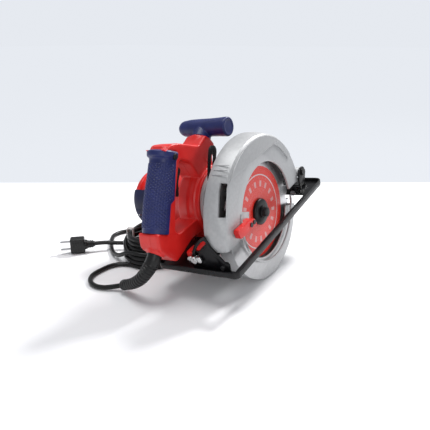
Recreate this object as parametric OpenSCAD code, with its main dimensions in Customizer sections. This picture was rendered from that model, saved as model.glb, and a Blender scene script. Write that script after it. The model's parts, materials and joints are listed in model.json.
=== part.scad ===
// Corded circular saw: a sidewinder with the blade on the right of the motor.
// Saw axes: X to the right along the arbor, Y forward along the cut, Z up from the shoe.
// The saw lies as it was put down: its blade guard on the floor, its motor on the coiled cord.

/* [Blade] */
// Blade radius to the tooth tips
blade_r = 92; // [88:1:93]
// Number of teeth
tooth_count = 24; // [18:1:40]
// Thickness of the blade plate
plate_t = 1.4; // [1.2:0.1:1.8]
// Radius of the arbor hole
arbor_r = 7.95; // [7.5:0.05:8]

/* [Guards] */
// Outer radius of the fixed upper guard
guard_r = 113.8; // [112:0.2:115]
// Thickness of the upper guard's cast wall
guard_wall = 3; // [2.5:0.1:3.2]
// Outer radius of the swinging lower guard
lower_r = 97; // [96:0.5:98]
// Radius of the opening in the lower guard's outer ring
ring_r = 66; // [60:1:70]

/* [Motor] */
// Distance of the motor axis behind the arbor
motor_back = 15; // [14:0.5:16]
// Height of the motor axis above the arbor
motor_up = 23; // [22:0.5:24]
// Outer radius of the motor housing
motor_r = 41.3; // [40:0.1:42]
// Outer radius of the fan drum
drum_r = 56; // [54:1:57]
// Teeth on the driven gear
gear_teeth = 38; // [36:1:40]
// Teeth on the pinion
pinion_teeth = 9; // [9:1:10]

/* [Handle] */
// Thickness of the handle shells across the saw
handle_w = 34; // [30:1:36]
// Radius of the front grip
bar_r = 13; // [12:0.5:14]

/* [Shoe] */
// Right edge of the shoe
shoe_right = 32; // [31:0.5:34]
// Width of the shoe
shoe_w = 133; // [125:1:140]
// Rear edge of the shoe, behind the arbor
shoe_rear = 127.4; // [126:0.2:130]
// Length of the shoe
shoe_l = 285.6; // [280:1:295]
// Height of the arbor above the sole
sole_drop = 27.3; // [27:0.1:28]
// Thickness of the shoe's sheet steel
sheet_t = 2; // [1.6:0.1:2.2]

/* [Cord] */
// Diameter of the power cord
cord_d = 7; // [6:0.5:7.5]

/* [Hidden] */

$fn = 64;
red = [0.78, 0.05, 0.06];
navy = [0.07, 0.09, 0.33];
cast = [0.74, 0.75, 0.76];
steel = [0.6, 0.61, 0.63];
black = [0.05, 0.05, 0.06];
copper = [0.72, 0.38, 0.16];

// The pose it rests in: leaning left on the motor side, nose up.
lean = 8.3;
nose_up = 12;
blade_at = [76.51, -0.711, 97.572];

motor_y = -motor_back;
motor_z = motor_up;
centre_distance = norm([motor_back, motor_up]);
gear_module = 2 * centre_distance / (gear_teeth + pinion_teeth);
mesh_angle = atan2(motor_z, motor_y);
pressure_angle = 25;
tooth_height = 0.8;
backlash = 0.25;
gear_x = [-37, -29];

guard_x = [-17, 13.6];
guard_mount_r = 44;
guard_open_r = 71;
guard_open_y = 3.5;
facet_turn = [0, 65.6, -62.3];
facet_at = 100.2;
window_start = 133;
window_sweep = 23;

lower_x = [-11, 9];
lower_wall = 1.5;
lower_start = 165;
lower_sweep = 175;
nose_r = 16.9;

depth_y = 119;
depth_z = 9;
arc_r = 181;
arc_w = 16;
arc_x = [-31.5, -28.7];
lock_angle = 182.5;
depth_travel = 32;
lock_y = depth_y + arc_r * cos(lock_angle);
lock_z = depth_z + arc_r * sin(lock_angle);

shoe_left = shoe_right - shoe_w;
shoe_front = shoe_l - shoe_rear;
plate_top = sheet_t - sole_drop;
flange_h = 8;
window_x = [-27, 20];
window_y = [-113.8, 107.8];
bevel_x = 4;
bevel_z = -20.5;
bevel_slot_r = 41;
bevel_bolt_angle = 165;
bevel_travel = 45;
tab_y = -116.9;
tab_t = 2.5;

handle_x = -75;
split_x = -72;
skin = 3.5;
// The rear grip's own axes: its top centre, and the angle of its length above level.
grip_top = [-77, 128.3];
grip_slope = 59.2;

// Heights are above the floor and places are from the point under the arbor.
cord_gland = [-71.5, -146.3, 68.3];
guard_route = [[-71.5, -146.3, 68.3], [-71, -153, 60], [-75, -159, 48], [-86, -162, 33],
    [-104, -160, 20], [-124, -157, 10.5]];
guard_radii = [9.5, 9, 8.4, 7.8, 7.1, 6.2];
lead_route = [[-124, -157, 10.5], [-136, -161, 6.5], [-149, -168.5, 4.2], [-162.9, -172, 3.5],
    [-175.1, -169.6, 3.5], [-185.5, -162.6, 3.5], [-192.5, -152.2, 3.5], [-194.9, -140, 3.5],
    [-194.9, -123.5, 3.5], [-192.5, -111.6, 3.5], [-185.8, -101.6, 3.5], [-175.8, -94.9, 3.5],
    [-163.9, -92.5, 3.5]];
loop_route = [[-163.9, -11.5, 10.5], [-185, -10, 8], [-206, -2, 4.5], [-228, 10, 3.5],
    [-249, 17, 3.5], [-261.5, 14.7, 3.5], [-271.2, 8.2, 3.5], [-277.7, -1.5, 3.5], [-280, -13, 3.5],
    [-277.7, -24.5, 3.5], [-271.2, -34.2, 3.5], [-257, -50, 3.5], [-240, -66, 3.5], [-220, -80, 5],
    [-199, -89, 11], [-181, -92.5, 20], [-163.9, -92.5, 24.5]];
tail_route = [[-184.15, -16.9, 24.5], [-199, -28, 19], [-213, -38, 13.5], [-226, -48, 11],
    [-238, -58, 11.5], [-249, -68, 13], [-257, -77, 13.5], [-263, -85, 13.5]];
coil_at = [-163.9, -52];
coil_r = 37;
coil_low_turns = 4;
coil_high_turns = 7;
plug_at = [-263, -85, 13.5];
plug_yaw = 226;

// ---- Helpers ----

// Puts a shape drawn on the saw's own axes into its resting pose.
module at_rest() {
    translate(blade_at) rotate([0, -lean, 0]) rotate([nose_up, 0, 0]) children();
}

// Puts a shape drawn from the point under the arbor into place on the floor.
module on_floor() {
    translate([blade_at[0], blade_at[1], 0]) children();
}

// Turns (Y, Z) outlines and their height into solids along X.
module on_x() {
    rotate([90, 0, 90]) children();
}

module plate_x(x0, x1) {
    translate([x0, 0, 0]) on_x() linear_extrude(x1 - x0) children();
}

module rod_x(r, x0, x1, y = 0, z = 0) {
    translate([x0, y, z]) rotate([0, 90, 0]) cylinder(r = r, h = x1 - x0);
}

module rod_y(r, y0, y1, x = 0, z = 0) {
    translate([x, y0, z]) rotate([-90, 0, 0]) cylinder(r = r, h = y1 - y0);
}

module tube_x(outer, inner, x0, x1, y = 0, z = 0) {
    difference() {
        rod_x(outer, x0, x1, y, z);
        rod_x(inner, x0 - 1, x1 + 1, y, z);
    }
}

module hex_x(r, x0, x1, y = 0, z = 0) {
    translate([x0, y, z]) rotate([0, 90, 0]) cylinder(r = r, h = x1 - x0, $fn = 6);
}

module screw_x(r, head_r, x0, x1, head_h, y = 0, z = 0) {
    rod_x(r, x0, x1, y, z);
    rod_x(head_r, x1, x1 + head_h, y, z);
}

// A ring's sector between two angles, turned about X, from a section in (radius, X).
module sector_x(start, sweep, section) {
    on_x() rotate([0, 0, start]) rotate_extrude(angle = sweep, $fn = 180) polygon(section);
}

function box2(r0, r1, x0, x1) = [[r0, x0], [r1, x0], [r1, x1], [r0, x1]];

// Rounds the corners of an outline, each with its own radius.
function unit(v) = v / norm(v);
function corner_arc(a, b, c, r) =
    let (u = unit(a - b), v = unit(c - b), half = acos(u * v) / 2,
        centre = b + unit(u + v) * r / sin(half),
        from = b + u * r / tan(half), to = b + v * r / tan(half),
        a0 = atan2(from[1] - centre[1], from[0] - centre[0]),
        a1 = atan2(to[1] - centre[1], to[0] - centre[0]),
        turn = a1 - a0 > 180 ? a1 - a0 - 360 : (a1 - a0 < -180 ? a1 - a0 + 360 : a1 - a0),
        steps = max(2, ceil(abs(turn) / 15)))
    [for (i = [0 : steps]) centre + r * [cos(a0 + turn * i / steps), sin(a0 + turn * i / steps)]];
function rounded(points, radii) =
    let (n = len(points))
    [for (i = [0 : n - 1]) each (radii[i] == 0 ? [points[i]]
        : corner_arc(points[(i + n - 1) % n], points[i], points[(i + 1) % n], radii[i]))];

// A point on the rear grip, from its distance down the grip and forward of its centre line.
function grip_point(down, ahead) =
    grip_top + down * [-cos(grip_slope), -sin(grip_slope)] + ahead * [sin(grip_slope), -cos(grip_slope)];
function grip_outline(pairs) = [for (p = pairs) grip_point(p[0], p[1])];

// Involute gear outline, with its first tooth centred on the local X axis.
function involute(angle) = tan(angle) * 180 / PI - angle;
function tooth_half(r, teeth) =
    let (pitch = gear_module * teeth / 2, base = pitch * cos(pressure_angle),
        at = acos(min(1, base / max(r, base))))
    (90 / teeth) - (backlash / 2 / pitch) * 90 / PI + involute(pressure_angle) - involute(at);
function gear_outline(teeth) =
    let (pitch = gear_module * teeth / 2, root = pitch - gear_module * (tooth_height + 0.2),
        tip = pitch + gear_module * tooth_height, base = pitch * cos(pressure_angle),
        radii = [root, max(base, root + 0.3), pitch, (pitch + tip) / 2, tip])
    [for (k = [0 : teeth - 1]) each concat(
        [for (i = [0 : 4]) let (a = k * 360 / teeth - tooth_half(radii[i], teeth))
            radii[i] * [cos(a), sin(a)]],
        [for (i = [4 : -1 : 0]) let (a = k * 360 / teeth + tooth_half(radii[i], teeth))
            radii[i] * [cos(a), sin(a)]])];

// A tube swept along a smooth curve through a route's points.
function spline_at(p, i, t) =
    let (n = len(p) - 1, a = p[max(0, i - 1)], b = p[i], c = p[min(n, i + 1)], d = p[min(n, i + 2)])
    0.5 * (2 * b + (c - a) * t + (2 * a - 5 * b + 4 * c - d) * t * t
        + (3 * b - a - 3 * c + d) * t * t * t);
function along(p, per) = concat(
    [for (i = [0 : len(p) - 2], k = [0 : per - 1]) spline_at(p, i, k / per)], [p[len(p) - 1]]);
function ring(p, i, r, sides) =
    let (n = len(p) - 1, t = unit(p[min(n, i + 1)] - p[max(0, i - 1)]),
        s = unit(cross(t, [0, 0, 1])), u = cross(s, t))
    [for (k = [0 : sides - 1]) p[i] + r * (cos(k * 360 / sides) * s + sin(k * 360 / sides) * u)];
module swept(route, radii, per, sides) {
    path = along(route, per);
    rings = len(path);
    size = [for (i = [0 : rings - 1]) len(radii) == 1 ? radii[0]
        : let (j = min(floor(i / per), len(radii) - 2), t = i / per - j)
            radii[j] * (1 - t) + radii[j + 1] * t];
    points = [for (i = [0 : rings - 1]) each ring(path, i, size[i], sides)];
    sides_faces = [for (i = [0 : rings - 2], k = [0 : sides - 1])
        let (a = i * sides + k, b = i * sides + (k + 1) % sides) each
        [[a, a + sides, b], [b, a + sides, b + sides]]];
    low_end = [for (k = [1 : sides - 2]) [0, k, k + 1]];
    top = (rings - 1) * sides;
    high_end = [for (k = [1 : sides - 2]) [top, top + k + 1, top + k]];
    polyhedron(points, concat(sides_faces, low_end, high_end));
}

// ---- Motor and housing ----

module motor_axis() {
    translate([0, motor_y, motor_z]) children();
}

// Field case: a plain tube with a bolting flange at the fan end.
module motor_housing() at_rest() motor_axis() color(red) {
    difference() {
        union() {
            rod_x(motor_r, -166, -88.3);
            intersection() {
                rod_x(50, -92.3, -88.3);
                translate([-100, -60, -44]) cube(120);
            }
        }
        rod_x(motor_r - 3.2, -170, -80);
        for (z = [-1, 1]) translate([-160, 0, z * 40]) cylinder(r = 6.1, h = 12, center = true);
        for (a = [45 : 90 : 315]) rotate([a, 0, 0]) rod_x(2.2, -94, -86, 0, 45.5);
    }
}

// Domed end cap with a raised lip; its middle holds the rear bearing and the vent insert.
module motor_end_cap() at_rest() motor_axis() color(red) {
    difference() {
        on_x() rotate_extrude($fn = 96) polygon([[16, -186.4], [34, -186.4], [39.5, -183],
            [motor_r, -178], [43.2, -176], [43.2, -172], [motor_r, -170], [motor_r, -166.3],
            [34, -166.3], [34, -178], [29, -182.5], [16, -182.5]]);
        for (a = [0 : 30 : 330]) rotate([a, 0, 0]) translate([-190, 20.5, -2.5]) cube([12, 10, 5]);
    }
    difference() {
        tube_x(14.5, 11.05, -186.4, -172.5);
        for (a = [30 : 60 : 330]) rotate([a, 0, 0]) translate([-180, 10, -1]) cube([12, 6, 2]);
    }
    for (a = [15 : 90 : 285]) rotate([a, 0, 0]) translate([-186.4, 14.2, -1.5]) cube([3.9, 2.5, 3]);
}

// Dark louvred ring set into the cap's flank.
module end_cap_vent() at_rest() motor_axis() color(navy) {
    difference() {
        tube_x(33.7, 31, -177.7, -168);
        for (a = [0 : 20 : 340]) rotate([a, 0, 0]) translate([-179, 28, -2]) cube([7.5, 8, 4]);
    }
}

// ---- Handle ----

function handle_outline() = rounded(
    [[-98, 142], [-61, 131], [-22, 112], [-3, 125], [17, 101], [1, 86], [-4, 66], [-30, 40],
        [-50, -2], [-88, 1], [-129, -12], [-158, 24], [-151, 43]],
    [9, 14, 7, 0, 0, 8, 0, 0, 0, 10, 4, 7, 5]);
function hand_gap() = rounded(
    [[-64, 113], [-45, 101], [-32, 78], [-26, 22], [-119, 22], [-90, 73]],
    [5, 12, 0, 0, 7, 16]);
function overmold_outline() = rounded(grip_outline(
    [[2, -30], [110, -30], [110, 2], [70, 2], [63, 9], [2, 9]]), [0, 0, 0, 0, 0, 0]);

module handle_2d() {
    difference() {
        polygon(handle_outline());
        polygon(hand_gap());
    }
}

// The drum is cut flat where it stands over the shoe.
module drum_2d(r, floor_t = 0) {
    intersection() {
        translate([motor_y, motor_z]) circle(r = r, $fn = 120);
        translate([-100, floor_t - 21]) square([200, 200]);
    }
}

// Rear core of the grip, which the soft grip wraps.
module grip_core_2d(clear) {
    intersection() {
        handle_2d();
        polygon(grip_outline([[-30, -16.5 - clear], [140, -16.5 - clear], [140, 40], [-30, 40]]));
    }
}

module grip_zone_2d() {
    intersection() {
        handle_2d();
        polygon(overmold_outline());
    }
}

// One clamshell of the handle with its half of the fan drum.
module handle_shell(x0, x1, core0, core1) {
    difference() {
        union() {
            plate_x(x0, x1) difference() {
                handle_2d();
                polygon(grip_outline([[1.8, -40], [110.2, -40], [110.2, 2.2], [70, 2.2],
                    [63, 9.2], [1.8, 9.2]]));
            }
            plate_x(core0, core1) grip_core_2d(0);
        }
        rod_x(drum_r - 4, -100, -40, motor_y, motor_z);
        switch_pocket();
    }
}

// Room inside the grip for the switch, the trigger and the lead.
module switch_pocket() {
    plate_x(handle_x - 9.5, handle_x + 9.5) polygon(grip_outline(
        [[16, -12], [66, -12], [66, 4.5], [16, 4.5]]));
    plate_x(handle_x - 7, handle_x + 7) polygon(grip_outline(
        [[14, 4], [62, 4], [62, 30], [14, 30]]));
    plate_x(handle_x - 4.2, handle_x + 4.2) polygon(grip_outline(
        [[60, -9], [128, -9], [128, -1], [60, -1]]));
    rod_x(4.1, handle_x + 2, handle_x + 30, grip_point(8.5, 3)[0], grip_point(8.5, 3)[1]);
    rod_x(7, handle_x - 6, handle_x + 8, grip_point(8.5, 3)[0], grip_point(8.5, 3)[1]);
    rod_x(1.55, handle_x - 11.2, handle_x + 11.2, trigger_pivot[0], trigger_pivot[1]);
}

handle_bolts = [grip_point(78, -2), grip_point(112, 8), [-70, 8], [-40, 106], [4, 104]];

module handle_shell_left() at_rest() color(red) {
    difference() {
        union() {
            handle_shell(handle_x - handle_w / 2 + 0.5, split_x - 0.1, handle_x - 13.5, split_x - 0.1);
            plate_x(-88, split_x - 0.1) difference() {
                drum_2d(drum_r);
                drum_2d(drum_r - 4, 4);
            }
            plate_x(-88, -84) drum_2d(drum_r);
        }
        rod_x(38.3, -100, -80, motor_y, motor_z);
        for (b = handle_bolts) rod_x(1.6, -84, -60, b[0], b[1]);
        motor_axis() for (a = [45 : 90 : 315]) rotate([a, 0, 0]) rod_x(1.8, -90, -80, 0, 45.5);
    }
}

module handle_shell_right() at_rest() color(red) {
    difference() {
        union() {
            handle_shell(split_x + 0.1, handle_x + handle_w / 2, split_x + 0.1, handle_x + 13.5);
            plate_x(split_x + 0.1, -52) difference() {
                drum_2d(drum_r - 1);
                drum_2d(drum_r - 5, 4);
            }
            plate_x(-55.5, -52) drum_2d(drum_r - 1);
        }
        rod_x(42, -60, -50, motor_y, motor_z);
        for (b = handle_bolts) rod_x(2.6, -73, -50, b[0], b[1]);
        for (b = handle_bolts) rod_x(4.6, handle_x + 10.7, -50, b[0], b[1]);
        motor_axis() for (a = [20, 160, 90]) rotate([a, 0, 0]) rod_x(1.8, -58, -50, 47, 0);
    }
}

// Soft grip: a channel that wraps the back and sides of the handle, with a collar at its top.
module rear_grip() at_rest() color(navy) {
    difference() {
        union() {
            plate_x(handle_x - handle_w / 2 - 0.3, handle_x + handle_w / 2 + 0.3) grip_zone_2d();
            plate_x(handle_x - handle_w / 2 - 1.5, handle_x + handle_w / 2 + 1.5) polygon(rounded(
                grip_outline([[2, -21.5], [9, -21.5], [9, 9], [2, 9]]), [2, 2, 0, 0]));
        }
        plate_x(handle_x - 13.7, handle_x + 13.7) polygon(grip_outline(
            [[-20, -16.7], [140, -16.7], [140, 40], [-20, 40]]));
        rod_x(4.1, handle_x + 10, handle_x + 30, button_at[0], button_at[1]);
    }
}

// Front grip: a cross bar with a rounded left end on a short neck.
module front_grip() at_rest() color(navy) {
    translate([0, 20.7, 123]) {
        rod_x(bar_r, -106, -33);
        rod_x(bar_r - 1.2, -33.1, -32);
        translate([-106, 0, 0]) sphere(r = bar_r);
    }
    plate_x(handle_x - 14.5, handle_x + 14.5) polygon(
        [[-2.4, 125.7], [17.5, 101.6], [26, 112], [12, 131]]);
}

// ---- Gear case and spindle ----

module gear_case() at_rest() color(cast) {
    difference() {
        union() {
            plate_x(-51.7, -46) drum_2d(50);
            plate_x(-46.5, guard_x[0] - 0.3) intersection() {
                union() {
                    circle(r = 42);
                    translate([motor_y, motor_z]) circle(r = 34);
                }
                translate([-100, -25.5]) square([200, 200]);
            }
            rod_x(nose_r, guard_x[0] - 1, -7.6);
        }
        rod_x(24.6, -44.9, -27.5);
        rod_x(9.4, -46, -27.5, motor_y, motor_z);
        rod_x(13.05, -60, -44.8, motor_y, motor_z);
        rod_x(15.05, -27.6, -17.6);
        rod_x(8.2, -20, -5);
        rod_x(7.05, -49.5, -44);
        for (a = [20, 160, 90]) motor_axis() rotate([a, 0, 0]) rod_x(2.2, -54, -44, 47, 0);
        for (a = [35, 90, 145]) rotate([a, 0, 0]) rod_x(2, -27, -16, 36, 0);
        rod_y(2.55, 20, 60, -33, 4);
        rod_y(6.3, 36, 60, -33, 4);
    }
}

module front_bearing() at_rest() color(steel) {
    tube_x(13, 4.54, -50.5, -45.5, motor_y, motor_z);
}

module rear_bearing() at_rest() color(steel) {
    tube_x(11, 4.54, -182, -174.5, motor_y, motor_z);
}

module spindle_bearings() at_rest() color(steel) {
    tube_x(15, 8.05, -27.4, -18.2);
    tube_x(7, 5.05, -49.4, -45.5);
}

module spindle() at_rest() color(steel) {
    difference() {
        union() {
            rod_x(5, -49, -38);
            rod_x(7, -38.5, -27.8);
            rod_x(8, -28, -6.8);
            rod_x(arbor_r - 0.05, -7, plate_t / 2 + 0.2);
        }
        rod_x(3.4, -24, 5);
    }
}

module driven_gear() at_rest() color(steel) {
    plate_x(gear_x[0], gear_x[1]) difference() {
        rotate(mesh_angle) polygon(gear_outline(gear_teeth));
        circle(r = 7.02);
    }
}

module inner_flange() at_rest() color(steel) {
    on_x() rotate_extrude() polygon([[arbor_r, -6.4], [17.5, -6.4], [19, -5.2],
        [19, -plate_t / 2], [15, -plate_t / 2], [15, -plate_t / 2 - 0.6],
        [arbor_r, -plate_t / 2 - 0.6]]);
}

module outer_flange() at_rest() color(black) {
    on_x() rotate_extrude() polygon([[4.2, plate_t / 2 + 0.6], [15, plate_t / 2 + 0.6],
        [15, plate_t / 2], [19, plate_t / 2], [19, 4.2], [17.6, 5.6], [13, 6.4], [4.2, 6.4]]);
}

module blade_bolt() at_rest() color(black) {
    rod_x(3.3, -20, 7);
    rod_x(9.2, 6.4, 8.6);
    hex_x(7.5, 8.5, 14);
}

// ---- Blade ----

tooth_step = 360 / tooth_count;

// The tooth's outline: a sloping back, the tip's seat and a round gullet.
function tooth_points(k) =
    let (a = k * tooth_step, low = blade_r - 9.5, back = blade_r - 1.2)
    [[low + 1.5, a + 0.10 * tooth_step], [low, a + 0.20 * tooth_step],
        [low + 1.2, a + 0.34 * tooth_step], [low + 5, a + 0.42 * tooth_step],
        [back - 1.6, a + 0.55 * tooth_step], [back, a + 0.90 * tooth_step],
        [back, a + 0.985 * tooth_step], [low + 5.2, a + 0.985 * tooth_step]];
function blade_outline() = [for (k = [0 : tooth_count - 1], p = tooth_points(k))
    p[0] * [cos(p[1]), sin(p[1])]];

module blade() at_rest() color([0.75, 0.1, 0.08]) {
    plate_x(-plate_t / 2, plate_t / 2) difference() {
        polygon(blade_outline());
        circle(r = arbor_r);
    }
}

module carbide_tips() at_rest() color(steel) {
    for (k = [0 : tooth_count - 1]) rotate([k * tooth_step + 0.985 * tooth_step, 0, 0])
        translate([-1.1, blade_r - 4.2, 0.02]) cube([2.2, 4.2, 1.8]);
}

// ---- Guards ----

module facet_side(distance) {
    rotate(facet_turn) translate([-250, -250, distance - 500]) cube(500);
}

function guard_section(inset) =
    let (r = guard_r - inset, x0 = guard_x[0] + inset, x1 = guard_x[1] - inset)
    [[0, x0], [r - 1, x0], [r, x0 + 1], [r, -7], [r - 1.2, 2], [r - 3.2, x1 - 2.4],
        [r - 6, x1], [0, x1]];

// Hollow half drum with a flat facet across its outer rear edge, a chip window and a round opening.
module guard_drum() {
    difference() {
        intersection() {
            sector_x(0, 180, guard_section(0));
            facet_side(facet_at);
        }
        intersection() {
            sector_x(-1, 182, guard_section(guard_wall));
            facet_side(facet_at - guard_wall);
        }
        rod_x(guard_open_r, guard_x[1] - 5, guard_x[1] + 5, guard_open_y, 0);
        sector_x(window_start, window_sweep, box2(95, 125, 3, 12.4));
    }
}

// Cast upper guard: the drum, its mounting web and the lug of the front pivot.
module upper_guard() at_rest() color(cast) {
    difference() {
        union() {
            guard_drum();
            plate_x(guard_x[0] + 0.1, guard_x[0] + guard_wall - 0.1) intersection() {
                union() {
                    circle(r = guard_mount_r);
                    translate([lock_y, lock_z]) circle(r = 11);
                    polygon([[-70, 20], [-72, 0], [-60, -9], [-20, -10], [0, 20]]);
                }
                translate([-150, -22.5]) square([300, 200]);
            }
            rod_x(7.5, guard_x[0] - 0.7, 14.9, depth_y, depth_z);
        }
        rod_x(nose_r + 0.15, -20, -10);
        rod_x(3.05, -30, 30, depth_y, depth_z);
        rod_x(3.05, -30, 0, lock_y, lock_z);
        for (a = [35, 90, 145]) rotate([a, 0, 0]) rod_x(2.2, -20, -10, 36, 0);
    }
}

module guard_screws() at_rest() color(steel) {
    for (a = [35, 90, 145]) rotate([a, 0, 0])
        screw_x(1.95, 4, -26, guard_x[0] + guard_wall, 2.2, 36, 0);
}

module guard_spring() at_rest() color(steel) {
    on_x() rotate_extrude() translate([20, -12.6]) circle(r = 0.9, $fn = 16);
}

// Bolt that the depth arc's slot runs on.
module depth_lock_bolt() at_rest() color(steel) {
    rod_x(3, -46, guard_x[0] + guard_wall, lock_y, lock_z);
    rod_x(6, guard_x[0] + guard_wall, guard_x[0] + guard_wall + 2.5, lock_y, lock_z);
    rod_x(7, arc_x[1] + 0.3, guard_x[0] - 0.3, lock_y, lock_z);
}

// Swinging guard: a thin pan with a rim and an outer ring, on a hub round the gear case's nose.
module lower_guard() at_rest() color(cast) {
    sector_x(lower_start, lower_sweep, [[22, lower_x[0]], [lower_r, lower_x[0]],
        [lower_r, lower_x[1]], [ring_r, lower_x[1]], [ring_r, lower_x[1] - lower_wall],
        [lower_r - lower_wall, lower_x[1] - lower_wall], [lower_r - lower_wall, lower_x[0] + lower_wall],
        [22, lower_x[0] + lower_wall]]);
    tube_x(26, nose_r + 0.08, lower_x[0] - 0.2, lower_x[0] + lower_wall + 0.6);
    plate_x(lower_x[1] - lower_wall - 0.2, lower_x[1] + 0.2) polygon(concat(
        [for (a = [152 : 2 : 160]) (ring_r + 2) * [cos(a), sin(a)]],
        [for (a = [160 : 2 : 166]) 80 * [cos(a), sin(a)]],
        [for (a = [166 : -2 : 152]) 43 * [cos(a), sin(a)]]));
}

lever_outline = [[-44, 5], [-88, 7.5], [-91, 20.5], [-60, 19], [-47, 16]];

module guard_lever() at_rest() color(red) {
    difference() {
        union() {
            plate_x(14.2, 22) polygon(rounded(lever_outline, [3, 3, 3, 8, 4]));
            plate_x(lower_x[1] + 0.25, 14.4) polygon([[-45, 6], [-62, 7], [-62, 18.5], [-48, 16]]);
        }
        for (y = [-50, -58]) rod_x(1.7, 5, 30, y, 12);
    }
}

module lever_screws() at_rest() color(steel) {
    for (y = [-50, -58]) {
        rod_x(1.6, lower_x[1] + 0.25, 22, y, 12);
        rod_x(3.2, 22, 23.2, y, 12);
    }
}

// ---- Motor inside ----

module stator_core() at_rest() motor_axis() color(steel) {
    difference() {
        rod_x(37.9, -150, -106);
        rod_x(25, -160, -100);
        for (s = [-1, 1]) translate([-155, -12, s * 30.5 - 5]) cube([60, 24, 10]);
    }
}

module field_coils() at_rest() motor_axis() color(copper) {
    for (s = [-1, 1]) translate([-155.5, -11.5, s * 30.5 - 4.5]) cube([55, 23, 9]);
}

module armature_shaft() at_rest() motor_axis() color(steel) {
    rod_x(4.5, -181.5, -44.5);
    rod_x(3, -44.6, -41);
}

module pinion() at_rest() color(steel) {
    translate([0, motor_y, motor_z]) plate_x(-41, -28.5)
        rotate(mesh_angle + 180 + 180 / pinion_teeth) polygon(gear_outline(pinion_teeth));
}

module armature_core() at_rest() motor_axis() color(copper) {
    difference() {
        union() {
            rod_x(24.4, -150, -106);
            rod_x(20, -155, -101);
        }
        rod_x(4.52, -160, -90);
        for (a = [0 : 30 : 330]) rotate([a, 0, 0]) translate([-152, -1, 21.5]) cube([48, 2, 5]);
    }
}

module commutator() at_rest() motor_axis() color(copper) {
    tube_x(13, 4.52, -169, -156);
}

module cooling_fan() at_rest() motor_axis() color(black) {
    difference() {
        union() {
            rod_x(38.4, -80.5, -78.5);
            rod_x(9, -80.5, -64);
            for (a = [0 : 30 : 330]) rotate([a, 0, 0]) translate([-79, 18, -1]) cube([12, 20.3, 2]);
        }
        rod_x(4.52, -90, -60);
    }
}

module brush_holders() at_rest() motor_axis() color("goldenrod") {
    for (s = [-1, 1]) difference() {
        translate([-164, -4.5, s > 0 ? 15.5 : -35.5]) cube([8, 9, 20]);
        translate([-163.1, -3.6, s > 0 ? 10 : -40]) cube([6.2, 7.2, 30]);
    }
}

module carbon_brushes() at_rest() motor_axis() color(black) {
    for (s = [-1, 1]) translate([-163, -3.5, s > 0 ? 13.3 : -31.3]) cube([6, 7, 18]);
}

module brush_caps() at_rest() motor_axis() color(black) {
    for (s = [-1, 1]) rotate([s > 0 ? 0 : 180, 0, 0]) translate([-160, 0, 0]) difference() {
        translate([0, 0, 35.8]) cylinder(r = 6, h = 6.5);
        translate([-5, -0.6, 41]) cube([10, 1.2, 3]);
    }
}

// ---- Switch, buttons and screws ----

module switch_body() at_rest() color(black) {
    plate_x(handle_x - 9, handle_x + 9) polygon(grip_outline(
        [[20, -11.5], [60, -11.5], [60, 2.5], [20, 2.5]]));
}

trigger_pivot = grip_point(19, 10);

module trigger() at_rest() color(black) {
    difference() {
        plate_x(handle_x - 6.6, handle_x + 6.6) polygon(rounded(grip_outline(
            [[15.5, 6.5], [23, 6.5], [56, 9.6], [58, 24], [40, 22.5], [22, 25], [15.5, 17]]),
            [2, 0, 2, 3, 12, 4, 3]));
        rod_x(1.55, -100, -50, trigger_pivot[0], trigger_pivot[1]);
    }
}

button_at = grip_point(8.5, 3);

module lock_off_button() at_rest() color(black) {
    rod_x(4, handle_x + 4, handle_x + handle_w / 2 + 4.5, button_at[0], button_at[1]);
    rod_x(6.5, handle_x + 4, handle_x + 6.5, button_at[0], button_at[1]);
}

module spindle_lock() at_rest() color(black) {
    rod_y(2.5, 27.5, 44, -33, 4);
    rod_y(6, 43.5, 52, -33, 4);
}

module handle_screws() at_rest() color(steel) {
    for (b = handle_bolts) {
        rod_x(1.55, -83, handle_x + 10, b[0], b[1]);
        rod_x(2.5, handle_x + 3.2, handle_x + 10.9, b[0], b[1]);
        rod_x(4.4, handle_x + 10.8, handle_x + 13.2, b[0], b[1]);
    }
    rod_x(1.5, handle_x - 11, handle_x + 11, trigger_pivot[0], trigger_pivot[1]);
}

module housing_screws() at_rest() color(steel) {
    motor_axis() {
        for (a = [45, 135]) rotate([a, 0, 0]) {
            rod_x(1.75, -92.5, -84.2, 0, 45.5);
            rod_x(3.6, -95, -92.4, 0, 45.5);
        }
        for (a = [20, 160, 90]) rotate([a, 0, 0]) {
            rod_x(1.75, -55, -45.9, 47, 0);
            rod_x(3.2, -45.9, -43.6, 47, 0);
        }
    }
}

// ---- Depth carriage ----

module front_bracket() at_rest() color(black) {
    difference() {
        union() {
            translate([-20.7, 104.8, -25.8]) cube([38.6, 2.5, 15.5]);
            translate([-20.7, 104.8, -11]) cube([2.7, 2.5, 12]);
            translate([15.2, 104.8, -11]) cube([2.7, 2.5, 12]);
            for (x = [-20.7, 15.2]) plate_x(x, x + 2.7) polygon(rounded(
                [[104.8, -11], [121, -11], [128, 2], [128, 17], [111, 17], [104.8, 2]],
                [0, 4, 6, 7, 7, 2]));
        }
        rod_x(3.05, -30, 30, depth_y, depth_z);
        rod_y(3.02, 100, 112, bevel_x, bevel_z);
        translate([12, 100, -30]) cube([10, 10, 14]);
    }
}

module depth_pivot_pin() at_rest() color(steel) {
    rod_x(3, -21.5, 18.2, depth_y, depth_z);
    rod_x(5.5, 18.1, 20.6, depth_y, depth_z);
    rod_x(5.5, -24.5, -21.4, depth_y, depth_z);
}

function ring_sector(r0, r1, a0, a1, steps) = concat(
    [for (i = [0 : steps]) let (a = a0 + (a1 - a0) * i / steps) r1 * [cos(a), sin(a)]],
    [for (i = [steps : -1 : 0]) let (a = a0 + (a1 - a0) * i / steps) r0 * [cos(a), sin(a)]]);

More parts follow.
